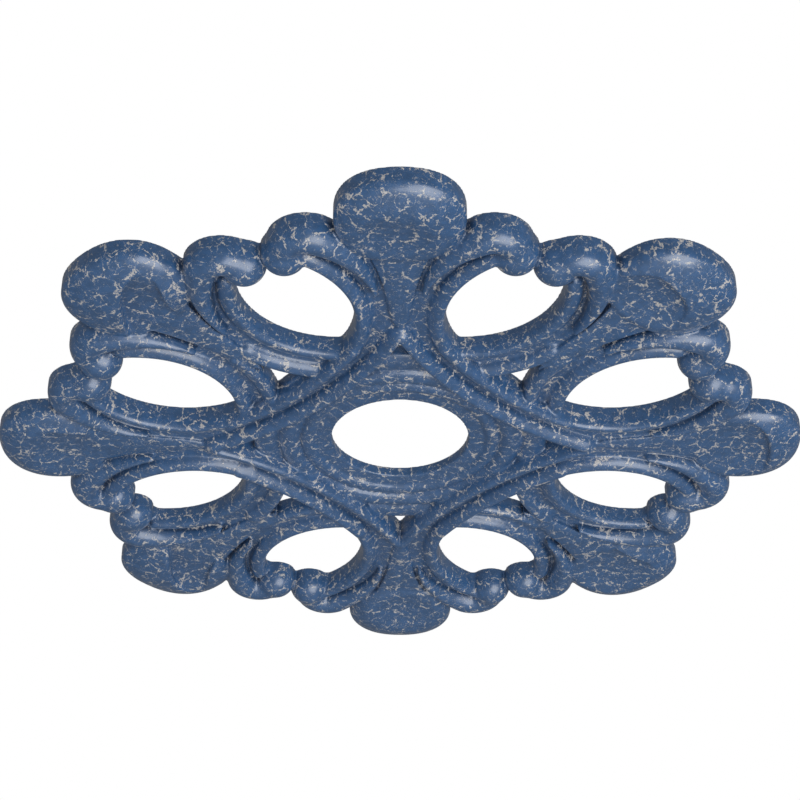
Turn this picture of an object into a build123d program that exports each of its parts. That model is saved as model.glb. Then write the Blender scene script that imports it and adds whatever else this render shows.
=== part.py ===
from build123d import *

import os
from math import atan2, cos, degrees, radians, sin, sqrt

# Ceiling medallion: one moulded piece of pierced scrollwork round a stepped centre ring.
# It is drawn lying on its flat back with the face up, in a frame whose y axis runs along
# one straight arm, and turned over at the end: back at z = 0 on the ceiling, face below.

os.makedirs("parts", exist_ok=True)

overall_dia = 508.0
R = overall_dia / 2
arms = 8

# centre ring, a stepped round moulding lying lower than the bands
hole_r = 43.815
hole_edge_h = 7.112
cove_w = 10.033
inner_bead_w = 9.652
middle_bead_w = 13.97
outer_bead_w = 15.494
cove_r = hole_r + cove_w
inner_bead_r = cove_r + inner_bead_w
middle_bead_r = inner_bead_r + middle_bead_w
ring_r = middle_bead_r + outer_bead_w
ring_low = 7.62
inner_crest = 9.652
middle_crest = 11.176
outer_crest = 9.906

# leaf lobe at the end of each arm, and the stem that widens up to it
lobe_r = 36.322
lobe_y = R - lobe_r
lobe_wall = 5.588
lobe_crest = 21.844
scoop_r = 63.5
scoop_back = 14.478
leaf_h = 14.478
leaf_root = 115.57
leaf_back = 4.318
leaf_top = lobe_y - leaf_back
leaf_low_half = 5.08
leaf_middle_half = 9.652
leaf_high_half = 16.764
leaf_top_half = 29.464

# plate that carries the scrolls, and the heights of its relief
plate_back = 20.828
plate_r = lobe_y - plate_back
stem_field_w = 101.6
stem_field_gap = 5.08
arm_floor = 10.414
stem_floor = 12.192
wall_h = 6.096
arm_crest = 13.462
stem_crest = 16.002
band_crest = 17.272
rim_w = 6.858
rim_sink = 1.016
edge_break = 0.762
bead_step = 0.508

# bands bowed towards the centre, each joining two neighbouring straight arms
band_centre = 220.98
band_outer = 220.98
band_inner = 246.888
band_half_turn = 19.8

# pierced openings: across, along and radius of the edge beside each kind of arm
stem_edge = (89.154, 132.588, 62.484)
arm_edge = (84.963, 138.43, 57.785)
arm_band = 28.448
stem_from = 116.0
arm_from = 128.0
arm_inner_from = 184.0
arm_inner_turn = 33.0
opening_corner = (35.56, 100.33)

# small pierced angles beside the ring: half width, near side and tip, between bands and under arms
band_angle = (15.24, ring_r - 5.334, 117.348)
arm_angle = (19.05, ring_r - 9.144, 127.0)

# scroll at each side of the lobe, curled round its eye and ending in a ball
eye_across = 52.07
eye_back = 24.13
eye = (eye_across, lobe_y - eye_back)
scroll_r = 22.86
eye_floor_r = scroll_r - 11.176
scroll_half = 7.493
scroll_wall = 6.604
scroll_crest = 19.05
ball_across = 12.6746
ball_back = 4.4196
ball_at = (eye[0] + ball_across, eye[1] - ball_back)
ball_r = 13.335
ball_crest = 20.32
tail_from = 120.0
tail_turn = 50.0
tail_r = 66.04


def upright_plane(centre, angle):
    """Upright plane through a centre, its x axis running outward at the angle, its y axis up."""
    a = radians(angle)
    return Plane(origin=(centre[0], centre[1], 0), x_dir=(cos(a), sin(a), 0), z_dir=(sin(a), -cos(a), 0))


def upright_axis(centre):
    """Upright axis through a centre."""
    return Axis((centre[0], centre[1], 0), (0, 0, 1))


def heading(centre, point):
    """Angle in degrees of a point seen from a centre."""
    return degrees(atan2(point[1] - centre[1], point[0] - centre[0])) % 360


def rim_section(edge_r, side, crest, floor):
    """Rounded rim on one side of an edge: upright wall, eased shoulder, crest, fall to the trough."""
    shoulder = 0.46 * rim_w
    with BuildLine() as outline:
        Line((edge_r, 0), (edge_r, wall_h))
        EllipticalCenterArc((edge_r + side * shoulder, wall_h), shoulder, crest - wall_h,
                            start_angle=90 if side > 0 else 0, arc_size=90)
        ThreePointArc((edge_r + side * shoulder, crest),
                      (edge_r + side * 0.80 * rim_w, crest - 0.30 * (crest - floor)),
                      (edge_r + side * rim_w, floor - rim_sink))
        Line((edge_r + side * rim_w, floor - rim_sink), (edge_r + side * rim_w, 0))
        Line((edge_r + side * rim_w, 0), (edge_r, 0))
    make_face(outline.edges())


def dome_section(edge_r, wall, crest):
    """Half section of a dome: upright wall, then a quarter ellipse up to the crest."""
    with BuildLine() as outline:
        Line((0, 0), (edge_r, 0))
        Line((edge_r, 0), (edge_r, wall))
        EllipticalCenterArc((0, wall), edge_r, crest - wall, arc_size=90)
        Line((0, crest), (0, 0))
    make_face(outline.edges())


def roll_section(middle, half, wall, crest):
    """Section of a roll: upright walls with a half ellipse over them."""
    with BuildLine() as outline:
        Line((middle - half, 0), (middle + half, 0))
        Line((middle + half, 0), (middle + half, wall))
        EllipticalCenterArc((middle, wall), half, crest - wall, arc_size=180)
        Line((middle - half, wall), (middle - half, 0))
    make_face(outline.edges())


# Centre ring: hole wall, cove, and three beads stepping outward.
with BuildPart() as ring:
    with BuildSketch(Plane.XZ):
        with BuildLine():
            Line((hole_r, 0), (hole_r, hole_edge_h - edge_break))
            Line((hole_r, hole_edge_h - edge_break), (hole_r + edge_break, hole_edge_h))
            Line((hole_r + edge_break, hole_edge_h), (cove_r, ring_low))
            ThreePointArc((cove_r, ring_low), (0.5 * (cove_r + inner_bead_r) + 2 * bead_step, inner_crest),
                          (inner_bead_r, ring_low + edge_break))
            ThreePointArc((inner_bead_r, ring_low + edge_break),
                          (0.5 * (inner_bead_r + middle_bead_r), middle_crest),
                          (middle_bead_r, ring_low + 2 * bead_step))
            Line((middle_bead_r, ring_low + 2 * bead_step), (middle_bead_r, ring_low - bead_step))
            ThreePointArc((middle_bead_r, ring_low - bead_step),
                          (0.5 * (middle_bead_r + ring_r), outer_crest), (ring_r, ring_low - 2 * bead_step))
            Line((ring_r, ring_low - 2 * bead_step), (ring_r, 0))
            Line((ring_r, 0), (hole_r, 0))
        make_face()
    revolve(axis=Axis.Z)

# Cutters for the pierced openings. The plate stops short of each edge, under its rim.
arm_edge_in_stem_frame = ((arm_edge[1] - arm_edge[0]) * sqrt(0.5), (arm_edge[1] + arm_edge[0]) * sqrt(0.5))
with BuildPart() as opening_cut:
    with BuildSketch():
        with Locations((stem_edge[0], stem_edge[1])):
            Circle(stem_edge[2] + 0.5 * rim_w)
        with Locations(arm_edge_in_stem_frame):
            Circle(arm_edge[2] + 0.5 * rim_w, mode=Mode.INTERSECT)
    extrude(amount=lobe_crest)

# Plate: a low annulus under the diagonal arms with higher fields under the straight arms.
with BuildPart() as plate:
    with BuildSketch():
        Circle(plate_r)
        Circle(ring_r, mode=Mode.SUBTRACT)
    extrude(amount=arm_floor)
    with BuildSketch():
        with PolarLocations(0, arms // 2, start_angle=90):
            with Locations((0.5 * (plate_r + ring_r + stem_field_gap), 0)):
                Rectangle(plate_r - ring_r - stem_field_gap, stem_field_w)
        Circle(plate_r, mode=Mode.INTERSECT)
    extrude(amount=stem_floor)
    with PolarLocations(0, arms // 2):
        add(opening_cut.part, mode=Mode.SUBTRACT)
        add(opening_cut.part.mirror(Plane.YZ), mode=Mode.SUBTRACT)
    # the angles between the bands, and between the diagonal arms and the bands, are pierced
    with BuildSketch():
        with PolarLocations(0, arms // 2):
            Polygon((-band_angle[0], band_angle[1]), band_angle[:2], (0, band_angle[2]), align=None)
        with PolarLocations(0, arms // 2, start_angle=45):
            Polygon((-arm_angle[0], arm_angle[1]), arm_angle[:2], (0, arm_angle[2]), align=None)
    extrude(amount=lobe_crest, mode=Mode.SUBTRACT)

# Rims along the edges of an opening, and the inner rim of a diagonal arm beside its small gap.
opening_corner_on_arm = ((opening_corner[1] - opening_corner[0]) * sqrt(0.5),
                         (opening_corner[0] + opening_corner[1]) * sqrt(0.5))
stem_to = heading(stem_edge, opening_corner) + 1.5
with BuildPart() as stem_rim:
    with BuildSketch(upright_plane(stem_edge, stem_from)):
        rim_section(stem_edge[2], 1, stem_crest, stem_floor)
    revolve(axis=upright_axis(stem_edge), revolution_arc=stem_to - stem_from)

arm_to = heading(arm_edge, opening_corner_on_arm) + 4.0
with BuildPart() as arm_rim:
    with BuildSketch(upright_plane(arm_edge, arm_from)):
        rim_section(arm_edge[2], 1, arm_crest, arm_floor)
    revolve(axis=upright_axis(arm_edge), revolution_arc=arm_to - arm_from)
    with BuildSketch(upright_plane(arm_edge, arm_inner_from)):
        rim_section(arm_edge[2] + arm_band, -1, arm_crest, arm_floor)
    revolve(axis=upright_axis(arm_edge), revolution_arc=arm_inner_turn)

# Band: a trough between an outer rim and an inner rim, all turned about one centre.
band_at = (band_centre, band_centre)
band_corner = heading(band_at, opening_corner)
with BuildPart() as band:
    with BuildSketch(upright_plane(band_at, band_corner - 2.0)):
        rim_section(band_outer, 1, band_crest, stem_floor)
    revolve(axis=upright_axis(band_at), revolution_arc=2 * (225 - band_corner + 2.0))
    with BuildSketch(upright_plane(band_at, 225 - band_half_turn)):
        rim_section(band_inner, -1, band_crest, stem_floor)
    revolve(axis=upright_axis(band_at), revolution_arc=2 * band_half_turn)
    with BuildSketch(upright_plane(band_at, 225 - band_half_turn)):
        with Locations((0.5 * (band_outer + band_inner), 0.5 * stem_floor)):
            Rectangle(band_inner - band_outer - rim_w, stem_floor)
    revolve(axis=upright_axis(band_at), revolution_arc=2 * band_half_turn)

# Leaf: a stem that widens from a point between the scrolls to a domed and scooped lobe.
leaf_len = leaf_top - leaf_root
leaf_low = (leaf_low_half, leaf_root + 13 / 77 * leaf_len)
leaf_middle = (leaf_middle_half, leaf_root + 37 / 77 * leaf_len)
leaf_high = (leaf_high_half, leaf_root + 59 / 77 * leaf_len)
with BuildPart() as leaf:
    with BuildSketch():
        with BuildLine():
            Spline((0, leaf_root), leaf_low, leaf_middle, leaf_high, (leaf_top_half, leaf_top))
            Line((leaf_top_half, leaf_top), (0, leaf_top))
            Line((0, leaf_top), (0, leaf_root))
        make_face()
        mirror(about=Plane.YZ)
    extrude(amount=leaf_h)

with BuildPart() as lobe:
    with BuildSketch(upright_plane((0, lobe_y), 0)):
        dome_section(lobe_r, lobe_wall, lobe_crest)
    revolve(axis=upright_axis((0, lobe_y)))
    with Locations((0, lobe_y - scoop_back, leaf_h + scoop_r)):
        Sphere(scoop_r, mode=Mode.SUBTRACT)

# Scroll on the right of a lobe: curled roll, ball end, and a tail tapering down the stem.
scroll_mid = scroll_r - scroll_half
tail_dir = (cos(radians(tail_from)), sin(radians(tail_from)))
tail_at = (eye[0] + (scroll_mid - tail_r) * tail_dir[0], eye[1] + (scroll_mid - tail_r) * tail_dir[1])
with BuildPart() as scroll:
    with BuildSketch(upright_plane(eye, -5)):
        roll_section(scroll_mid, scroll_half, scroll_wall, scroll_crest)
    revolve(axis=upright_axis(eye), revolution_arc=tail_from + 5)
    with BuildSketch():
        with Locations(ball_at):
            Circle(ball_r)
    extrude(amount=ball_crest - ball_r)
    with Locations((ball_at[0], ball_at[1], ball_crest - ball_r)):
        Sphere(ball_r, arc_size1=0)
    with BuildSketch():
        with Locations(eye):
            Circle(eye_floor_r)
    extrude(amount=arm_floor)

with BuildPart() as tail:
    for share in (0.0, 0.5, 1.0):
        with BuildSketch(upright_plane(tail_at, tail_from + share * tail_turn)):
            roll_section(tail_r, scroll_half * (1 - 0.80 * share), scroll_wall,
                         scroll_crest + (stem_crest - scroll_crest) * share)
    loft()

with BuildPart() as arm_end:
    add(leaf.part)
    add(scroll.part)
    add(tail.part)
    add(scroll.part.mirror(Plane.YZ))
    add(tail.part.mirror(Plane.YZ))
    add(lobe.part)

# The whole face, one solid.
with BuildPart() as face:
    add(ring.part)
    add(plate.part)
    with PolarLocations(0, arms // 2):
        add(band.part)
        add(stem_rim.part)
        add(stem_rim.part.mirror(Plane.YZ))
    with PolarLocations(0, arms // 2, start_angle=45):
        add(arm_rim.part)
        add(arm_rim.part.mirror(Plane.YZ))
    with PolarLocations(0, arms):
        add(arm_end.part)

with BuildPart() as medallion:
    add(face.part, rotation=(180, 0, 0))

medallion.part.label = "medallion"
export_step(medallion.part, "parts/medallion.step")
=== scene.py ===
"""Ceiling medallion: the carved face in crackled blue paint, with its camera, lights and floor.

The face is worked out as a distance field from rolls, domes and plates, each in the frame of its
own arm, and meshed in one piece. Lengths of the design are shares of the outer radius.
"""

from __future__ import annotations

import logging
import math
from dataclasses import dataclass, replace
from enum import Enum
from typing import Any, Protocol

import bpy
import numpy as np
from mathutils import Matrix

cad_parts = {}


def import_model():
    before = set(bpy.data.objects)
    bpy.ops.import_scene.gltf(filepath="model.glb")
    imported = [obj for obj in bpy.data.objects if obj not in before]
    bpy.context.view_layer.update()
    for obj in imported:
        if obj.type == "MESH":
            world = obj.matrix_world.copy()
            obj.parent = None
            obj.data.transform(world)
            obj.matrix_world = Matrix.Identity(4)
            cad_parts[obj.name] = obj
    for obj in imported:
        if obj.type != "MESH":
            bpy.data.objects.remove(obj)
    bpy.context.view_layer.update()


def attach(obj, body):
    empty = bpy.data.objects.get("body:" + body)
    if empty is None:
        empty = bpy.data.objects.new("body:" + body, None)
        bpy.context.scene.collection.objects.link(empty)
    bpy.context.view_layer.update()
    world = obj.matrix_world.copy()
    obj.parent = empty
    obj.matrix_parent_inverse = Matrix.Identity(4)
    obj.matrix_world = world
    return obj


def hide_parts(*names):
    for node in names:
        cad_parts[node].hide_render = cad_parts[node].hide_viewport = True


LOG = logging.getLogger("medallion")
Array = np.ndarray
RGB = tuple[float, float, float]
Point = tuple[float, float]
Circle = tuple[float, float, float]

# Outer radius in metres. The lengths below are shares of it.
RADIUS = 0.254
# Half the width of the grid.
GRID_EDGE = 1.04
# Room round a shape's reach within which it still changes the field.
MARGIN = 0.06
# Values that stand for open air, and for farther than anything on the grid.
OPEN_AIR = 0.1
FAR = 9.0
# Least values that keep a division or a section sound.
TINY = 1e-12
SMALL = 1e-6
LEAST_WIDTH = 1e-3
LEAST_RISE = 1e-4
LEAST_SLOPE = 5.0
# Turn in degrees between the rows of an arc.
ARC_STEP = 3.0
# Layers of the grid above the flat back, and beyond the deepest crest.
LAYERS_ABOVE = 1.5
SPARE_LAYERS = 4


class Side(Enum):
    """Which side of an arm a shape lies on, seen from below with the arm pointing up."""

    RIGHT = 1
    LEFT = -1


@dataclass(frozen=True)
class Place:
    """Frame of one arm: u runs across it to the right and v outward along it."""

    angle: float
    side: Side = Side.RIGHT

    def local(self, x: Array, y: Array) -> tuple[Array, Array]:
        """Positions in this frame.

        Args:
            x: Row x of each point.
            y: Row y of each point.

        Returns:
            The points' u and v.
        """
        c, s = math.cos(math.radians(self.angle)), math.sin(math.radians(self.angle))
        return self.side.value * (y * c - x * s), x * c + y * s

    def world(self, u: float, v: float) -> Point:
        """Row position of one local point."""
        c, s = math.cos(math.radians(self.angle)), math.sin(math.radians(self.angle))
        across = self.side.value * u
        return v * c - across * s, v * s + across * c


class Shape(Protocol):
    """A solid that hangs from the back plane, known by its distance from any point."""

    centre: Point
    reach: float

    def distance(self, u: Array, v: Array, h: Array) -> Array:
        """Signed distance, negative inside, at local u and v and at depth h below the back."""


def rounded(
    offset: Array, half: Array | float, wall: Array | float, crest: Array | float, h: Array
) -> Array:
    """Distance from a section with upright walls and a half ellipse over them.

    Args:
        offset: Distance from the middle line.
        half: Half width on that side.
        wall: Height of the upright wall.
        crest: Height of the crest.
        h: Depth of the point.

    Returns:
        Signed distance, to first order.
    """
    rise = np.maximum(crest - wall, LEAST_RISE)
    up = np.maximum(h - wall, 0.0)
    q = np.sqrt((offset / half) ** 2 + (up / rise) ** 2) + SMALL
    slope = np.sqrt((offset / half**2) ** 2 + (up / rise**2) ** 2) / q
    return (q - 1.0) / np.maximum(slope, LEAST_SLOPE)


def from_stretch(a: Array, b: Array, u: Array, v: Array) -> tuple[Array, Array, Array]:
    """Where points lie from one straight stretch of a path.

    Args:
        a: Row at its start, which begins with u and v.
        b: Row at its end.
        u: The points' u.
        v: The points' v.

    Returns:
        The nearest spot's share along it, the gap squared, and a value above zero on its left.
    """
    du, dv = b[0] - a[0], b[1] - a[1]
    share = np.clip(((u - a[0]) * du + (v - a[1]) * dv) / (du * du + dv * dv + TINY), 0.0, 1.0)
    eu, ev = u - a[0] - share * du, v - a[1] - share * dv
    return share, eu * eu + ev * ev, du * ev - dv * eu


@dataclass(frozen=True)
class Roll:
    """Roll of changing width along a path of rows u, v, left half, right half, crest."""

    rows: Array
    wall_left: float
    wall_right: float

    @property
    def centre(self) -> Point:
        """Middle of the path's box."""
        low, high = self.rows[:, :2].min(0), self.rows[:, :2].max(0)
        return float(low[0] + high[0]) / 2, float(low[1] + high[1]) / 2

    @property
    def reach(self) -> float:
        """Radius that holds the roll."""
        spread = np.hypot(*(self.rows[:, :2] - self.centre).T)
        return float(spread.max() + self.rows[:, 2:4].max())

    def distance(self, u: Array, v: Array, h: Array) -> Array:
        """See Shape."""
        best, side = np.full(u.shape, FAR), np.ones(u.shape)
        section = np.zeros((3,) + u.shape)
        for a, b in zip(self.rows[:-1], self.rows[1:]):
            share, gap, turn = from_stretch(a, b, u, v)
            near = gap < best
            best = np.where(near, gap, best)
            side = np.where(near, turn, side)
            for k in range(3):
                section[k] = np.where(near, a[2 + k] + share * (b[2 + k] - a[2 + k]), section[k])
        half_left, half_right, crest = section
        half = np.where(side > 0, half_left, half_right)
        wall = np.where(side > 0, self.wall_left, self.wall_right)
        return rounded(np.sqrt(best), half, np.minimum(wall, crest - LEAST_WIDTH), crest, h)


@dataclass(frozen=True)
class Dome:
    """Dome over a rounded-square plan, its inner and outer half lengths set apart."""

    centre: Point
    half: float
    outward: float
    inward: float
    wall: float
    crest: float
    plan_power: float = 2.3
    spread: float = 1.25

    @property
    def reach(self) -> float:
        """Radius that holds the dome."""
        return self.spread * max(self.half, self.outward, self.inward)

    def distance(self, u: Array, v: Array, h: Array) -> Array:
        """See Shape."""
        du, dv = u - self.centre[0], v - self.centre[1]
        along = np.where(dv > 0, self.outward, self.inward)
        p = self.plan_power
        plan = (np.abs(du / self.half) ** p + np.abs(dv / along) ** p) ** (1 / p)
        return rounded(plan * self.half, self.half, self.wall, self.crest, h)


@dataclass(frozen=True)
class Ball:
    """Ball standing on an upright wall."""

    centre: Point
    radius: float
    crest: float

    @property
    def reach(self) -> float:
        """Radius that holds the ball."""
        return self.radius

    def distance(self, u: Array, v: Array, h: Array) -> Array:
        """See Shape."""
        up = np.maximum(h - (self.crest - self.radius), 0.0)
        return np.sqrt((u - self.centre[0]) ** 2 + (v - self.centre[1]) ** 2 + up**2) - self.radius


@dataclass(frozen=True)
class Bowl:
    """Scoop taken out of a lobe: a ball of air on its lowest point, left of a crease."""

    centre: Point
    radius: float
    floor: float
    crease: Array
    reach: float = 0.30

    def distance(self, u: Array, v: Array, h: Array) -> Array:
        """See Shape."""
        du, dv = u - self.centre[0], v - self.centre[1]
        ball = np.sqrt(du**2 + dv**2 + (h - self.floor - self.radius) ** 2) - self.radius
        best, side = np.full(u.shape, FAR), np.ones(u.shape)
        for a, b in zip(self.crease[:-1], self.crease[1:]):
            _, gap, turn = from_stretch(a, b, u, v)
            side = np.where(gap < best, turn, side)
            best = np.minimum(gap, best)
        return np.maximum(ball, np.where(side > 0, -1.0, 1.0) * np.sqrt(best))


@dataclass(frozen=True)
class Bead:
    """Ring with a half ellipse section about the middle of the medallion."""

    middle: float
    half: float
    wall: float
    crest: float
    centre: Point = (0.0, 0.0)

    @property
    def reach(self) -> float:
        """Radius that holds the ring."""
        return self.middle + self.half

    def distance(self, u: Array, v: Array, h: Array) -> Array:
        """See Shape."""
        return rounded(np.abs(np.hypot(u, v) - self.middle), self.half, self.wall, self.crest, h)


@dataclass(frozen=True)
class Washer:
    """Flat ring, or a stretch of one, between two radii and two headings."""

    centre: Point
    inner: float
    outer: float
    height: float
    headings: Point = (-180.0, 180.0)

    @property
    def reach(self) -> float:
        """Radius that holds the ring."""
        return self.outer

    def distance(self, u: Array, v: Array, h: Array) -> Array:
        """See Shape."""
        du, dv = u - self.centre[0], v - self.centre[1]
        r = np.hypot(du, dv)
        plan = np.maximum(r - self.outer, self.inner - r)
        low, high = self.headings
        if high - low < 360.0:
            turn = (np.degrees(np.arctan2(dv, du)) - 0.5 * (low + high) + 180.0) % 360.0 - 180.0
            plan = np.maximum(plan, np.radians(np.abs(turn) - 0.5 * (high - low)) * r)
        return np.maximum(plan, h - self.height)


@dataclass(frozen=True)
class Wedge:
    """Flat leaf symmetric about the arm, its half width read from rows of v and half width."""

    rows: tuple[Point, ...]
    height: float
    crown: float = 0.0
    slant: float = 0.93

    @property
    def centre(self) -> Point:
        """Middle of its length."""
        return 0.0, 0.5 * (self.rows[0][0] + self.rows[-1][0])

    @property
    def reach(self) -> float:
        """Radius that holds the leaf."""
        return 0.5 * (self.rows[-1][0] - self.rows[0][0]) + max(w for _, w in self.rows)

    def distance(self, u: Array, v: Array, h: Array) -> Array:
        """See Shape."""
        along = np.array([r[0] for r in self.rows])
        width = np.interp(v, along, [r[1] for r in self.rows])
        plan = np.maximum(self.slant * (np.abs(u) - width), np.maximum(along[0] - v, v - along[-1]))
        share = np.clip(np.abs(u) / np.maximum(width, LEAST_WIDTH), 0.0, 1.0)
        return np.maximum(plan, h - self.height - self.crown * share**2)


@dataclass(frozen=True)
class Lens:
    """Upright hole between two circles."""

    first: Circle
    second: Circle
    reach: float = 0.32

    @property
    def centre(self) -> Point:
        """Middle between the circles' centres."""
        return 0.5 * (self.first[0] + self.second[0]), 0.5 * (self.first[1] + self.second[1])

    def distance(self, u: Array, v: Array, h: Array) -> Array:
        """See Shape."""
        gaps = [np.hypot(u - cu, v - cv) - r for cu, cv, r in (self.first, self.second)]
        return np.maximum(*gaps) + 0.0 * h


@dataclass(frozen=True)
class Gusset:
    """Upright three-sided hole pointing outward along the arm."""

    half: float
    near: float
    tip: float
    reach: float = 0.2

    @property
    def centre(self) -> Point:
        """Middle of its length."""
        return 0.0, 0.5 * (self.near + self.tip)

    def distance(self, u: Array, v: Array, h: Array) -> Array:
        """See Shape."""
        run = self.tip - self.near
        slant = math.hypot(self.half, run)
        side = (run * np.abs(u) + self.half * (v - self.tip)) / slant
        return np.maximum(side, self.near - v) + 0.0 * h


def heading(start: Point, end: Point) -> float:
    """Heading in degrees from one point to another, from 0 to 360."""
    return math.degrees(math.atan2(end[1] - start[1], end[0] - start[0])) % 360


def arc_rows(
    centre: Point, radius: float, start: float, end: float, left: float, right: float, crest: float
) -> Array:
    """Rows of a roll along an arc, travelled by rising heading.

    Args:
        centre: Middle of the arc.
        radius: Radius of the crest line.
        start: First heading in degrees.
        end: Last heading in degrees.
        left: Half width on the side of the middle.
        right: Half width on the other side.
        crest: Height of the crest.

    Returns:
        Rows of u, v, left, right and crest.
    """
    count = max(3, int(abs(end - start) / ARC_STEP) + 2)
    t = np.radians(np.linspace(start, end, count))
    same = np.ones(count)
    u, v = centre[0] + radius * np.cos(t), centre[1] + radius * np.sin(t)
    return np.stack([u, v, left * same, right * same, crest * same], 1)


def smooth_rows(points: list[tuple[float, ...]], steps: int = 7) -> Array:
    """Rows through a few given ones, joined smoothly.

    Args:
        points: Rows to pass through.
        steps: Rows added for each gap.

    Returns:
        The finer rows.
    """
    p = np.array(points, dtype=float)
    ends = np.vstack([2 * p[0] - p[1], p, 2 * p[-1] - p[-2]])
    out = []
    for a, b, c, d in zip(ends[:-3], ends[1:-2], ends[2:-1], ends[3:]):
        for t in np.arange(steps) / steps:
            out.append(b + 0.5 * t * (c - a + t * (2 * a - 5 * b + 4 * c - d + t * (3 * (b - c) + d - a))))
    out.append(p[-1])
    return np.array(out)


class Relief:
    """The face as a distance field on a grid, in shares of the outer radius."""

    def __init__(self, cell: float, depth: float) -> None:
        self.cell = cell
        across = np.arange(-GRID_EDGE, GRID_EDGE, cell)
        self.x, self.y = np.meshgrid(across, across)
        layers = np.arange(int(depth / cell) + SPARE_LAYERS)
        self.h = ((layers - LAYERS_ABOVE) * cell)[:, None, None]
        self.values = np.full((len(layers),) + self.x.shape, OPEN_AIR, np.float32)

    def _window(self, shape: Shape, place: Place) -> tuple[slice, slice]:
        """Rows and columns of the grid that a placed shape can reach."""
        cx, cy = place.world(*shape.centre)
        reach = shape.reach + MARGIN
        low = [int(max(0, (c - reach - self.x[0, 0]) / self.cell)) for c in (cy, cx)]
        high = [int(min(len(self.x), (c + reach - self.x[0, 0]) / self.cell + 2)) for c in (cy, cx)]
        return slice(low[0], high[0]), slice(low[1], high[1])

    def _read(self, shape: Shape, place: Place, window: tuple[slice, slice]) -> Array:
        """Distances from a placed shape at every depth of a window."""
        u, v = place.local(self.x[window], self.y[window])
        return np.asarray(shape.distance(u, v, self.h), np.float32)

    def add(
        self, shape: Shape, place: Place, soft: float = 0.003, cut: Shape | None = None, lip: float = 0.008
    ) -> None:
        """Joins a shape to the face.

        Args:
            shape: Shape to join.
            place: Arm frame it stands in.
            soft: Width of the fillet where it meets the rest.
            cut: Shape of air taken out of it first.
            lip: Width of the rounded edge that the cut leaves.
        """
        window = self._window(shape, place)
        d = self._read(shape, place, window)
        if cut is not None:
            air = -self._read(cut, place, window)
            blend = np.maximum(lip - np.abs(d - air), 0.0) / lip
            d = np.maximum(d, air) + blend**2 * (lip / 4)
        part = (slice(None),) + window
        old = self.values[part]
        blend = np.maximum(soft - np.abs(old - d), 0.0) / soft
        self.values[part] = np.minimum(old, d) - blend**2 * (soft / 4)

    def remove(self, shape: Shape, place: Place) -> None:
        """Cuts a shape out of the face."""
        window = self._window(shape, place)
        part = (slice(None),) + window
        self.values[part] = np.maximum(self.values[part], -self._read(shape, place, window))

    def mesh(self) -> tuple[Array, Array]:
        """Surface of the field, closed by the flat back.

        Returns:
            Corners in metres in the row frame, and faces of four corners each.
        """
        values = np.maximum(self.values, -self.h.astype(np.float32))
        inside = values < 0
        cells = tuple(n - 1 for n in inside.shape)

        def corner(field: Array, shift: tuple[int, int, int]) -> Array:
            """Values of the field at one corner of every cell."""
            return field[tuple(slice(s, s + n) for s, n in zip(shift, cells))]

        shifts = [(i, j, k) for i in (0, 1) for j in (0, 1) for k in (0, 1)]
        filled = sum(corner(inside, s).astype(np.int8) for s in shifts)
        active = (filled > 0) & (filled < 8)
        at = np.argwhere(active)
        number = np.full(cells, -1, np.int64)
        number[active] = np.arange(len(at))
        total, hits = np.zeros((len(at), 3)), np.zeros(len(at))
        for a in shifts:
            for axis in range(3):
                if a[axis]:
                    continue
                b = tuple(a[i] + (i == axis) for i in range(3))
                va, vb = corner(values, a)[active], corner(values, b)[active]
                cross = (va < 0) != (vb < 0)
                share = np.where(cross, va / np.where(cross, va - vb, 1.0), 0.0)
                spot = at + np.array(a, float)
                spot[:, axis] += share
                total[cross] += spot[cross]
                hits[cross] += 1
        spots = total / hits[:, None]
        faces = []
        for axis in range(3):
            one, two = [i for i in range(3) if i != axis]
            low = np.take(inside, range(inside.shape[axis] - 1), axis)
            high = np.take(inside, range(1, inside.shape[axis]), axis)
            edge = np.argwhere(low != high)
            edge = edge[(edge[:, one] > 0) & (edge[:, two] > 0)]
            edge = edge[(edge[:, one] < cells[one]) & (edge[:, two] < cells[two])]
            ring = []
            for d1, d2 in ((1, 1), (0, 1), (0, 0), (1, 0)):
                spot = edge.copy()
                spot[:, one] -= d1
                spot[:, two] -= d2
                ring.append(number[tuple(spot.T)])
            quad = np.stack(ring, 1)
            turned = low[tuple(edge.T)] ^ (axis == 1)
            faces.append(np.where(turned[:, None], quad[:, ::-1], quad))
        h = (spots[:, 0] - LAYERS_ABOVE) * self.cell
        x, y = (self.x[0, 0] + spots[:, k] * self.cell for k in (2, 1))
        return RADIUS * np.stack([x, y, -h], 1), np.vstack(faces)


@dataclass(frozen=True)
class RingSizes:
    """Centre ring, from its hole outward."""

    hole: float = 0.1715
    edge: float = 0.0275
    cove: float = 0.212
    inner_bead: float = 0.250
    middle_bead: float = 0.305
    outer: float = 0.366
    low: float = 0.024
    inner_crest: float = 0.038
    middle_crest: float = 0.044
    outer_crest: float = 0.039


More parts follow.
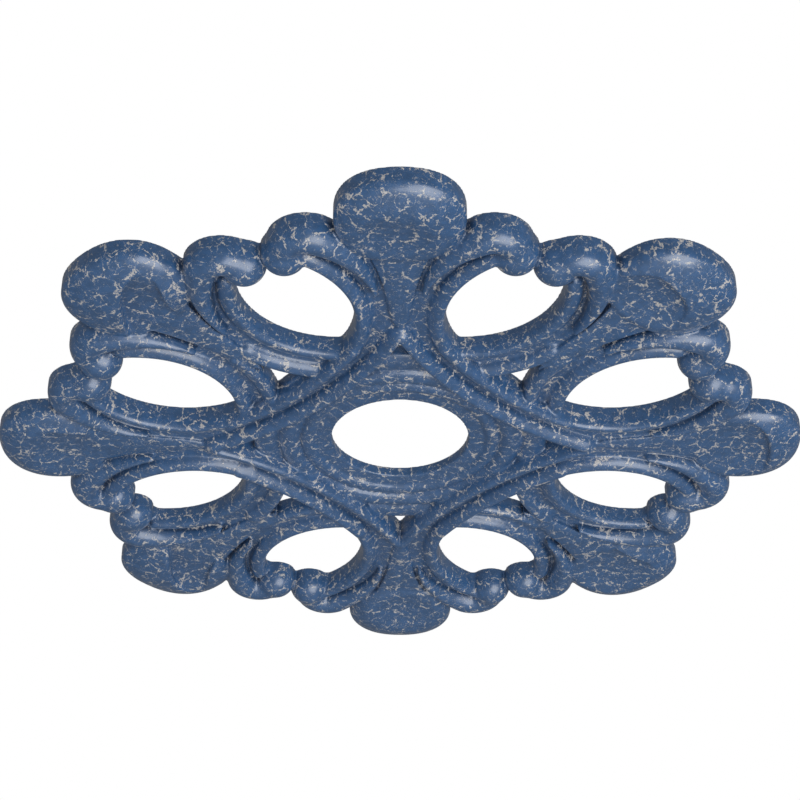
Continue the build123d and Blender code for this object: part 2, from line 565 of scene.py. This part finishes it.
@dataclass(frozen=True)
class ArmSizes:
    """Plates, rims and bands that carry the leaf ends."""

    plate: float = 0.775
    arm_floor: float = 0.030
    stem_floor: float = 0.037
    wall: float = 0.024
    arm_crest: float = 0.053
    stem_crest: float = 0.063
    band_crest: float = 0.068
    rim: float = 0.027
    edge_half: float = 0.015
    fall_half: float = 0.030
    band_centre: Point = (0.870, 0.870)
    band_outer: float = 0.870
    band_inner: float = 0.972
    band_half_turn: float = 19.8
    band_lap: float = 2.0
    trough_lap: float = 0.4
    band_wall: float = 0.5
    rim_wall: float = 0.45
    strip_half: float = 0.20
    stem_edge: Circle = (0.351, 0.522, 0.246)
    stem_start: float = 116.0
    stem_lap: float = 1.5
    stem_angle: Gusset = Gusset(half=0.060, near=0.345, tip=0.462)
    arm_edge: Circle = (0.3345, 0.545, 0.2225)
    arm_start: float = 128.0
    arm_lap: float = 4.0
    arm_angle: Gusset = Gusset(half=0.075, near=0.330, tip=0.500)
    arm_band: float = 0.112
    arm_band_turn: Point = (184.0, 217.0)
    corner: Point = (0.140, 0.395)


HOOK = (
    (-0.010, 0.560),
    (0.010, 0.620),
    (0.026, 0.680),
    (0.040, 0.750),
    (0.062, 0.805),
    (0.090, 0.850),
    (0.104, 0.884),
    (0.094, 0.906),
    (0.062, 0.912),
    (0.026, 0.902),
    (-0.010, 0.876),
    (-0.050, 0.836),
    (-0.100, 0.780),
)
CRESCENT = (
    (0.090, 0.760),
    (0.052, 0.850),
    (0.015, 0.888),
    (-0.035, 0.902),
    (-0.080, 0.904),
    (-0.106, 0.892),
    (-0.124, 0.866),
    (-0.145, 0.810),
)
ACROSS = (
    (0.170, 0.880),
    (0.100, 0.910),
    (0.050, 0.919),
    (0.000, 0.920),
    (-0.060, 0.908),
    (-0.104, 0.880),
    (-0.126, 0.830),
    (-0.130, 0.770),
)
ALONG = (
    (0.000, 0.540),
    (0.032, 0.660),
    (0.056, 0.750),
    (0.078, 0.820),
    (0.086, 0.876),
    (0.066, 0.924),
    (0.020, 0.944),
    (-0.050, 0.936),
    (-0.130, 0.880),
)


@dataclass(frozen=True)
class LobeShape:
    """Lobe at the end of one arm, with the crease that bounds its scoop."""

    roll: Side
    half: float = 0.144
    shift: float = 0.0
    crease: tuple[Point, ...] = CRESCENT
    scoop: Point = (-0.020, 0.790)
    scoop_radius: float = 0.60
    floor: float = 0.047
    lip: float = 0.008


@dataclass(frozen=True)
class LeafSizes:
    """Leaf ends, lobes and scrolls."""

    height: float = 0.049
    hollow: float = -0.004
    widths: tuple[Point, ...] = (
        (0.455, 0.0),
        (0.52, 0.020),
        (0.64, 0.038),
        (0.70, 0.052),
        (0.75, 0.068),
        (0.80, 0.092),
        (0.86, 0.120),
    )
    lobe_at: float = 0.862
    lobe_inward: float = 0.130
    lobe_crest: float = 0.0825
    lobe_wall: float = 0.034
    scroll_crest: float = 0.075
    scroll_wall: float = 0.026
    scroll_half: float = 0.041
    eye: Point = (0.205, 0.762)
    eye_floor: float = 0.046
    scroll_radius: float = 0.049
    curl_from: float = -8.0
    ball: Point = (0.2549, 0.7446)
    ball_radius: float = 0.0525
    ball_crest: float = 0.080
    ball_fillet: float = 0.006
    tail_radius: float = 0.260
    tail_from: float = 120.0
    tail_turn: float = 50.0
    tail_crest: float = 0.060
    tail_tip: float = 0.18
    tail_growth: float = 0.82


class Carving:
    """The whole face, built arm by arm into one relief."""

    STRAIGHT = (0.0, 90.0, 180.0, 270.0)
    DIAGONAL = (45.0, 135.0, 225.0, 315.0)
    INWARD = 225.0
    MIDDLE = (0.0, 0.0)

    def __init__(self, cell: float) -> None:
        self.ring_sizes = RingSizes()
        self.arm_sizes = ArmSizes()
        self.leaf_sizes = LeafSizes()
        self.relief = Relief(cell, self.leaf_sizes.lobe_crest)
        plain = LobeShape(Side.RIGHT)
        soft = replace(plain, crease=ALONG, scoop_radius=0.34, floor=0.054, lip=0.014)
        wide = LobeShape(Side.RIGHT, half=0.153, shift=-0.004)
        self.lobes = {
            0.0: replace(plain, crease=ACROSS),
            90.0: soft,
            180.0: replace(soft, floor=0.051, scoop_radius=0.42),
            270.0: soft,
            45.0: replace(wide, roll=Side.LEFT, crease=ALONG, scoop_radius=0.42),
            135.0: replace(wide, roll=Side.LEFT, crease=HOOK),
            225.0: replace(wide, crease=HOOK),
            315.0: replace(wide, scoop=(-0.070, 0.800), scoop_radius=0.36),
        }

    def build(self) -> tuple[Array, Array]:
        """Builds every part of the face in order.

        Returns:
            Corners in metres and faces.
        """
        self.plates()
        self.ring()
        for angle in self.STRAIGHT:
            self.band(Place(angle))
            for side in Side:
                self.stem_rim(Place(angle, side))
        for angle in self.DIAGONAL:
            for side in Side:
                self.arm_rims(Place(angle, side))
        for angle, lobe in self.lobes.items():
            self.leaf(Place(angle), lobe)
        return self.relief.mesh()

    def plates(self) -> None:
        """Low plate under the arms, pierced by the openings and the small angles."""
        z = self.arm_sizes
        outer = self.ring_sizes.outer
        self.relief.add(Washer(self.MIDDLE, outer, z.plate, z.arm_floor), Place(0.0))
        for angle in self.STRAIGHT:
            strip = Wedge(((outer, z.strip_half), (z.plate, z.strip_half)), z.stem_floor)
            self.relief.add(strip, Place(angle))
        u, v, radius = z.arm_edge
        turned = ((v - u) * math.sqrt(0.5), (v + u) * math.sqrt(0.5), radius + 0.5 * z.rim)
        lens = Lens((z.stem_edge[0], z.stem_edge[1], z.stem_edge[2] + 0.5 * z.rim), turned)
        for angle in self.STRAIGHT:
            for side in Side:
                self.relief.remove(lens, Place(angle, side))
            self.relief.remove(z.stem_angle, Place(angle))
        for angle in self.DIAGONAL:
            self.relief.remove(z.arm_angle, Place(angle))

    def ring(self) -> None:
        """Stepped ring round the centre hole."""
        z, middle = self.ring_sizes, Place(0.0)
        self.relief.add(Washer(self.MIDDLE, z.hole, z.outer, z.edge), middle)
        for low, high, crest in (
            (z.cove, z.inner_bead, z.inner_crest),
            (z.inner_bead, z.middle_bead, z.middle_crest),
            (z.middle_bead, z.outer, z.outer_crest),
        ):
            self.relief.add(Bead((low + high) / 2, (high - low) / 2, z.low, crest), middle)

    def band(self, place: Place) -> None:
        """Band bowed towards the ring from one straight arm to the next."""
        z = self.arm_sizes
        lap = z.trough_lap * z.rim
        turn = (self.INWARD - z.band_half_turn, self.INWARD + z.band_half_turn)
        trough = Washer(z.band_centre, z.band_outer + lap, z.band_inner - lap, z.stem_floor, turn)
        self.relief.add(trough, place)
        crest_out, crest_in = z.band_outer + z.edge_half, z.band_inner - z.edge_half
        start = heading(z.band_centre, z.corner)
        ends = (start - z.band_lap, 2 * self.INWARD + z.band_lap - start)
        outer = arc_rows(z.band_centre, crest_out, *ends, z.edge_half, z.fall_half, z.band_crest)
        inner = arc_rows(z.band_centre, crest_in, *turn, z.fall_half, z.edge_half, z.band_crest)
        trough_wall = z.band_wall * z.stem_floor
        self.relief.add(Roll(outer, z.wall, trough_wall), place)
        self.relief.add(Roll(inner, trough_wall, z.wall), place)

    def _edge_rim(self, place: Place, edge: Circle, start: float, end: float, crest: float) -> None:
        """Rim along the edge of an opening.

        Args:
            place: Arm frame it lies in.
            edge: Circle of the opening's edge.
            start: First heading in degrees.
            end: Last heading in degrees.
            crest: Height of the rim.
        """
        z = self.arm_sizes
        rows = arc_rows(edge[:2], edge[2] + z.edge_half, start, end, z.edge_half, z.fall_half, crest)
        self.relief.add(Roll(rows, z.wall, z.rim_wall * crest), place)

    def stem_rim(self, place: Place) -> None:
        """Rim of an opening beside a straight arm."""
        z = self.arm_sizes
        end = heading(z.stem_edge[:2], z.corner) + z.stem_lap
        self._edge_rim(place, z.stem_edge, z.stem_start, end, z.stem_crest)

    def arm_rims(self, place: Place) -> None:
        """Rims of a diagonal arm: beside the opening, and beside its small angle."""
        z = self.arm_sizes
        u, v = z.corner
        turned = ((v - u) * math.sqrt(0.5), (u + v) * math.sqrt(0.5))
        end = heading(z.arm_edge[:2], turned) + z.arm_lap
        self._edge_rim(place, z.arm_edge, z.arm_start, end, z.arm_crest)
        line = z.arm_edge[2] + z.arm_band - z.edge_half
        rows = arc_rows(z.arm_edge[:2], line, *z.arm_band_turn, z.fall_half, z.edge_half, z.arm_crest)
        self.relief.add(Roll(rows, z.rim_wall * z.arm_crest, z.wall), place)

    def leaf(self, place: Place, lobe: LobeShape) -> None:
        """Leaf end: stem, a scroll on each side, and the lobe with its scoop and crease."""
        z = self.leaf_sizes
        self.relief.add(Wedge(z.widths, z.height, crown=z.hollow), place)
        for side in Side:
            self.scroll(Place(place.angle, side))
        facing = Place(place.angle, lobe.roll)
        middle = (lobe.shift, z.lobe_at)
        dome = Dome(middle, lobe.half, 1.0 - z.lobe_at, z.lobe_inward, z.lobe_wall, z.lobe_crest)
        bowl = Bowl(lobe.scoop, lobe.scoop_radius, lobe.floor, smooth_rows(list(lobe.crease), 4))
        self.relief.add(dome, facing, cut=bowl, lip=lobe.lip)

    def scroll(self, place: Place) -> None:
        """Scroll curled round its eye, with a ball end and a tail down the stem."""
        z = self.leaf_sizes
        section = (z.scroll_half, z.scroll_half, z.scroll_crest)
        curl = arc_rows(z.eye, z.scroll_radius, z.curl_from, z.tail_from, *section)
        a = math.radians(z.tail_from)
        reach = z.scroll_radius - z.tail_radius
        turn_at = (z.eye[0] + reach * math.cos(a), z.eye[1] + reach * math.sin(a))
        tail = arc_rows(turn_at, z.tail_radius, z.tail_from, z.tail_from + z.tail_turn, *section)
        fade = np.linspace(1.0, 0.0, len(tail))
        tail[:, 2] = tail[:, 3] = z.scroll_half * (z.tail_tip + z.tail_growth * fade)
        tail[:, 4] = z.tail_crest + (z.scroll_crest - z.tail_crest) * fade
        self.relief.add(Roll(np.vstack([curl, tail[1:]]), z.scroll_wall, z.scroll_wall), place)
        self.relief.add(Ball(z.ball, z.ball_radius, z.ball_crest), place, soft=z.ball_fillet)
        self.relief.add(Washer(z.eye, -1.0, z.eye_floor, self.arm_sizes.arm_floor), place)


class Wire:
    """A shader value that can be worked with like a number."""

    def __init__(self, paint: Paint, socket: Any) -> None:
        self.paint, self.socket = paint, socket

    def _math(self, operation: str, *others: Any) -> Wire:
        """Wire from one Math node on this value and others."""
        node = self.paint.node("ShaderNodeMath", operation=operation)
        for slot, value in enumerate((self, *others)):
            self.paint.feed(node.inputs[slot], value)
        return Wire(self.paint, node.outputs[0])

    def __add__(self, other: Any) -> Wire:
        return self._math("ADD", other)

    def __mul__(self, other: Any) -> Wire:
        return self._math("MULTIPLY", other)

    def __truediv__(self, other: Any) -> Wire:
        return self._math("DIVIDE", other)

    def at_least(self, other: Any) -> Wire:
        """The higher of the two."""
        return self._math("MAXIMUM", other)

    def ramp(self, low: Any, high: Any, start: float = 0.0, end: float = 1.0) -> Wire:
        """Smooth change from start to end as the value goes from low to high."""
        node = self.paint.node("ShaderNodeMapRange", interpolation_type="SMOOTHSTEP")
        names = ("Value", "From Min", "From Max", "To Min", "To Max")
        for name, value in zip(names, (self, low, high, start, end)):
            self.paint.feed(node.inputs[name], value)
        return Wire(self.paint, node.outputs["Result"])


class Paint:
    """Node tree of one material, with the painter's usual moves."""

    def __init__(self, name: str) -> None:
        self.material = bpy.data.materials.new(name)
        self.material.use_nodes = True
        self.tree = self.material.node_tree
        self.shader = next(n for n in self.tree.nodes if n.type == "BSDF_PRINCIPLED")

    def node(self, kind: str, **settings: Any) -> Any:
        """Adds one node with its settings."""
        node = self.tree.nodes.new(kind)
        for name, value in settings.items():
            setattr(node, name, value)
        return node

    def feed(self, socket: Any, value: Any) -> None:
        """Links a value to a socket, or sets it where it is plain."""
        if isinstance(value, Wire):
            self.tree.links.new(value.socket, socket)
        elif hasattr(value, "is_output"):
            self.tree.links.new(value, socket)
        else:
            socket.default_value = value

    def place(self, scale: float) -> Any:
        """Position on the object, in units of 1 / scale metres."""
        where = self.node("ShaderNodeTexCoord")
        grow = self.node("ShaderNodeVectorMath", operation="SCALE")
        self.feed(grow.inputs[0], where.outputs["Object"])
        grow.inputs["Scale"].default_value = scale
        return grow.outputs[0]

    def noise(self, at: Any, scale: float, detail: float = 2.0, roughness: float = 0.5) -> Wire:
        """Noise on a position, about one half."""
        return Wire(self, self._noise_node(at, scale, detail, roughness).outputs["Fac"])

    def _noise_node(self, at: Any, scale: float, detail: float, roughness: float = 0.5) -> Any:
        """Noise node on a position, which gives a value and a colour."""
        node = self.node("ShaderNodeTexNoise")
        self.feed(node.inputs["Vector"], at)
        node.inputs["Scale"].default_value = scale
        node.inputs["Detail"].default_value = detail
        node.inputs["Roughness"].default_value = roughness
        return node

    def warp(self, at: Any, scale: float, amount: float, detail: float = 2.0) -> Any:
        """Position pushed about by noise."""
        noise = self._noise_node(at, scale, detail)
        middle = self.node("ShaderNodeVectorMath", operation="SUBTRACT")
        self.feed(middle.inputs[0], noise.outputs["Color"])
        middle.inputs[1].default_value = (0.5, 0.5, 0.5)
        push = self.node("ShaderNodeVectorMath", operation="SCALE")
        self.feed(push.inputs[0], middle.outputs[0])
        push.inputs["Scale"].default_value = amount
        total = self.node("ShaderNodeVectorMath", operation="ADD")
        self.feed(total.inputs[0], at)
        self.feed(total.inputs[1], push.outputs[0])
        return total.outputs[0]

    def cracks(self, at: Any, scale: float) -> Wire:
        """Distance from the nearest wall between cells."""
        node = self.node("ShaderNodeTexVoronoi", feature="DISTANCE_TO_EDGE")
        self.feed(node.inputs["Vector"], at)
        node.inputs["Scale"].default_value = scale
        return Wire(self, node.outputs["Distance"])

    def openness(self, reach: float) -> Wire:
        """Share of the surroundings within reach that is open air, low in a crease."""
        node = self.node("ShaderNodeAmbientOcclusion", samples=8, only_local=True)
        node.inputs["Distance"].default_value = reach
        return Wire(self, node.outputs["AO"])

    def blend(self, factor: Wire, first: Any, second: Any) -> Any:
        """Colour that goes from first to second with the factor."""
        node = self.node("ShaderNodeMix", data_type="RGBA")
        self.feed(node.inputs["Factor"], factor)
        for socket, value in ((node.inputs[6], first), (node.inputs[7], second)):
            self.feed(socket, (*value, 1.0) if isinstance(value, tuple) else value)
        return node.outputs[2]


@dataclass(frozen=True)
class Blots:
    """Noise that goes smoothly from one level to another between two of its values.

    Its scale is per centimetre.
    """

    scale: float
    detail: float
    between: Point
    roughness: float = 0.5
    levels: Point = (0.0, 1.0)

    def on(self, paint: Paint, at: Any) -> Wire:
        """The blots on a position."""
        noise = paint.noise(at, self.scale, self.detail, self.roughness)
        return noise.ramp(*self.between, *self.levels)


@dataclass(frozen=True)
class Cracks:
    """Net of cracks that opens only in some patches, each as wide as the patch's noise says."""

    LEAST_HALF = 0.002

    cells: float
    patches: Blots
    fade: Point

    def on(self, paint: Paint, at: Any, bent: Any, ragged: Wire) -> Wire:
        """One on a crack, zero beside it.

        Args:
            paint: Material that it goes into.
            at: Position for the patches.
            bent: Position for the net, pushed about so that its lines bend.
            ragged: Share that widens and narrows the cracks.

        Returns:
            The net.
        """
        half = self.patches.on(paint, at) * ragged
        share = paint.cracks(bent, self.cells) / half.at_least(self.LEAST_HALF)
        return share.ramp(*self.fade, 1.0, 0.0)


@dataclass(frozen=True)
class CrackleFinish:
    """Blue paint broken by a fine pale crackle, with painted shade in the creases, its scales per
    centimetre.
    """

    blue: RGB = (0.034, 0.104, 0.246)
    deep: RGB = (0.028, 0.084, 0.196)
    pale: RGB = (0.600, 0.575, 0.560)
    grey: RGB = (0.310, 0.320, 0.335)
    # Painted shade: the colour that creases darken towards where little of their surroundings is open.
    crease: RGB = (0.012, 0.032, 0.080)
    painted_shade_reach: float = 0.008
    painted_shade_fade: Point = (0.30, 0.80)
    roughness: float = 0.28
    shine: float = 1.0
    coat: float = 0.5
    coat_roughness: float = 0.25
    pale_roughness: float = 0.50
    per_metre: float = 100.0
    wide_bend: Point = (1.3, 0.60)
    close_bend: tuple[float, float, float] = (5.5, 0.30, 4.0)
    flake_bend: Point = (3.0, 0.4)
    veins: Cracks = Cracks(
        cells=0.95,
        patches=Blots(2.1, 4.0, (0.465, 0.63), 0.65, levels=(0.0, 0.060)),
        fade=(0.75, 1.1),
    )
    threads: Cracks = Cracks(
        cells=2.1,
        patches=Blots(4.3, 3.0, (0.50, 0.68), 0.6, levels=(0.0, 0.066)),
        fade=(0.6, 1.2),
    )
    ragged: Blots = Blots(9.0, 2.0, (0.34, 0.62), levels=(0.25, 1.35))
    flecks: Blots = Blots(9.0, 2.0, (0.70, 0.74))
    flakes: Blots = Blots(1.7, 4.0, (0.655, 0.680), 0.6)
    mottle: Blots = Blots(2.2, 4.0, (0.35, 0.65), 0.6)
    specks: Blots = Blots(14.0, 2.0, (0.3, 0.7))
    thread_cover: float = 0.55
    fleck_cover: float = 0.5
    bump_strength: float = 0.20
    bump_depth: float = 0.0006
    flake_lift: float = 0.5
    grain: Point = (16.0, 3.0)
    grain_lift: float = 0.08

    def material(self) -> Any:
        """Builds the paint.

        Returns:
            The material.
        """
        paint = Paint("crackled_blue_paint")
        at = paint.place(self.per_metre)
        pale = self._crackle(paint, at)
        colour = paint.blend(pale, self._ground(paint, at), self._chalk(paint, at))
        paint.feed(paint.shader.inputs["Base Color"], colour)
        paint.shader.inputs["Specular IOR Level"].default_value = self.shine
        paint.shader.inputs["Coat Weight"].default_value = self.coat
        paint.shader.inputs["Coat Roughness"].default_value = self.coat_roughness
        roughness = pale.ramp(0.0, 1.0, self.roughness, self.pale_roughness)
        paint.feed(paint.shader.inputs["Roughness"], roughness)
        bump = paint.node("ShaderNodeBump")
        bump.inputs["Strength"].default_value = self.bump_strength
        bump.inputs["Distance"].default_value = self.bump_depth
        grain = paint.noise(at, *self.grain)
        paint.feed(bump.inputs["Height"], pale * self.flake_lift + grain * self.grain_lift)
        paint.feed(paint.shader.inputs["Normal"], bump.outputs["Normal"])
        return paint.material

    def _crackle(self, paint: Paint, at: Any) -> Wire:
        """Share of pale paint: veins, finer threads, flecks and whole flakes."""
        bent = paint.warp(paint.warp(at, *self.wide_bend), *self.close_bend)
        ragged = self.ragged.on(paint, at)
        veins = self.veins.on(paint, at, bent, ragged)
        threads = self.threads.on(paint, at, bent, ragged) * self.thread_cover
        flecks = self.flecks.on(paint, bent) * self.fleck_cover
        flakes = self.flakes.on(paint, paint.warp(at, *self.flake_bend))
        return veins.at_least(threads).at_least(flecks).at_least(flakes)

    def _ground(self, paint: Paint, at: Any) -> Any:
        """Blue ground, mottled, with painted shade darkening the creases."""
        mottled = paint.blend(self.mottle.on(paint, at), self.deep, self.blue)
        openness = paint.openness(self.painted_shade_reach).ramp(*self.painted_shade_fade)
        # Painted shade in the creases, driven by ambient occlusion.
        return paint.blend(openness, self.crease, mottled)

    def _chalk(self, paint: Paint, at: Any) -> Any:
        """Pale paint with grey specks."""
        return paint.blend(self.specks.on(paint, at), self.grey, self.pale)


class Medallion:
    """The dressed moulding."""

    TRIANGLES = 190_000
    CELL = 0.0046

    def build(self) -> Any:
        """Meshes the carving and paints it.

        Returns:
            The piece.
        """
        corners, faces = Carving(self.CELL).build()
        LOG.info("relief: %d corners, %d faces", len(corners), len(faces))
        mesh = bpy.data.meshes.new("medallion_face")
        mesh.vertices.add(len(corners))
        mesh.vertices.foreach_set("co", corners.astype(np.float32).ravel())
        mesh.loops.add(faces.size)
        mesh.loops.foreach_set("vertex_index", faces.astype(np.int32).ravel())
        mesh.polygons.add(len(faces))
        mesh.polygons.foreach_set("loop_start", np.arange(0, faces.size, 4, dtype=np.int32))
        mesh.update(calc_edges=True)
        mesh.validate()
        piece = bpy.data.objects.new("carved_medallion", mesh)
        bpy.context.collection.objects.link(piece)
        self._thin(piece)
        piece.data.materials.append(CrackleFinish().material())
        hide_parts("medallion")
        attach(piece, "root")
        return piece

    def _thin(self, piece: Any) -> None:
        """Spends fewer triangles where the surface is flat."""
        triangles = 2 * len(piece.data.polygons)
        thin = piece.modifiers.new("thin", "DECIMATE")
        thin.ratio = min(1.0, self.TRIANGLES / triangles)
        bpy.context.view_layer.update()
        finished = piece.evaluated_get(bpy.context.evaluated_depsgraph_get())
        done = bpy.data.meshes.new_from_object(finished)
        piece.modifiers.clear()
        piece.data = done
        done.polygons.foreach_set("use_smooth", np.ones(len(done.polygons), bool))
        LOG.info("thinned to %d faces", len(done.polygons))


@dataclass(frozen=True)
class Lamp:
    """Soft square light aimed at the medallion."""

    name: str
    at: tuple[float, float, float]
    size: float
    watts: float
    glint: bool = False

    def build(self) -> None:
        """Hangs the light."""
        data = bpy.data.lights.new(self.name, "AREA")
        data.size, data.energy = self.size, self.watts
        lamp = bpy.data.objects.new(self.name, data)
        lamp.location = self.at
        lamp.visible_camera = False
        lamp.visible_glossy = self.glint
        bpy.context.collection.objects.link(lamp)
        x, y, z = (-c for c in self.at)
        lamp.rotation_euler = (math.atan2(math.hypot(x, y), -z), 0.0, math.atan2(y, x) - math.pi / 2)


class Studio:
    """White surroundings, lights, floor and camera."""

    ELEVATION = 34.6
    CAMERA_AT = (0.0, -4.175 * RADIUS, -2.788 * RADIUS)
    FIELD_OF_VIEW = 22.64
    SENSOR = 36.0
    NEAREST = 0.01
    FLOOR_DEPTH = 2.4
    FLOOR_HALF = 12.0
    FLOOR_COLOUR = (0.85, 0.85, 0.85)
    FLOOR_ROUGHNESS = 0.8
    AMBIENT = 0.16

    LAMPS = (
        Lamp("key", (0.95, -1.20, -1.72), 1.8, 30.0, glint=True),
        Lamp("right_fill", (2.18, 0.0, -0.71), 1.6, 17.0),
        Lamp("left_fill", (-2.18, 0.0, -0.71), 1.6, 11.5),
        Lamp("front_fill", (0.0, -2.18, -0.71), 1.6, 12.5),
        Lamp("overhead", (0.5, -0.8, 2.2), 1.8, 20.0),
    )

    def build(self) -> None:
        """Sets up everything round the medallion."""
        self._camera()
        self._world()
        self._floor()
        for lamp in self.LAMPS:
            lamp.build()

    def _camera(self) -> None:
        """Camera below and in front, looking up at the carved face."""
        data = bpy.data.cameras.new("camera")
        data.sensor_width = self.SENSOR
        data.lens = self.SENSOR / 2 / math.tan(math.radians(self.FIELD_OF_VIEW / 2))
        data.clip_start = self.NEAREST
        camera = bpy.data.objects.new("camera", data)
        camera.location = self.CAMERA_AT
        camera.rotation_euler = (math.radians(90 + self.ELEVATION), 0.0, 0.0)
        bpy.context.collection.objects.link(camera)
        bpy.context.scene.camera = camera
        bpy.context.scene.view_settings.view_transform = "Standard"

    def _world(self) -> None:
        """White for the camera, dimmer as a light."""
        world = bpy.data.worlds.new("white_room")
        world.use_nodes = True
        tree = world.node_tree
        back = next(n for n in tree.nodes if n.type == "BACKGROUND")
        back.inputs["Color"].default_value = (1.0, 1.0, 1.0, 1.0)
        seen = tree.nodes.new("ShaderNodeLightPath")
        strength = tree.nodes.new("ShaderNodeMapRange")
        strength.inputs["To Min"].default_value = self.AMBIENT
        strength.inputs["To Max"].default_value = 1.0
        tree.links.new(seen.outputs["Is Camera Ray"], strength.inputs["Value"])
        tree.links.new(strength.outputs["Result"], back.inputs["Strength"])
        bpy.context.scene.world = world

    def _floor(self) -> None:
        """Plain pale floor under the room's ceiling."""
        mesh = bpy.data.meshes.new("floor")
        s, z = self.FLOOR_HALF, -self.FLOOR_DEPTH
        mesh.from_pydata([(-s, -s, z), (s, -s, z), (s, s, z), (-s, s, z)], [], [(0, 1, 2, 3)])
        floor = bpy.data.objects.new("floor", mesh)
        material = bpy.data.materials.new("pale_floor")
        material.use_nodes = True
        shader = next(n for n in material.node_tree.nodes if n.type == "BSDF_PRINCIPLED")
        shader.inputs["Base Color"].default_value = (*self.FLOOR_COLOUR, 1.0)
        shader.inputs["Roughness"].default_value = self.FLOOR_ROUGHNESS
        mesh.materials.append(material)
        bpy.context.collection.objects.link(floor)


def main() -> None:
    """Builds the scene."""
    logging.basicConfig(level=logging.INFO, format="%(name)s: %(message)s")
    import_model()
    Studio().build()
    piece = Medallion().build()
    LOG.info("built %s", piece.name)


if __name__ == "__main__":
    main()
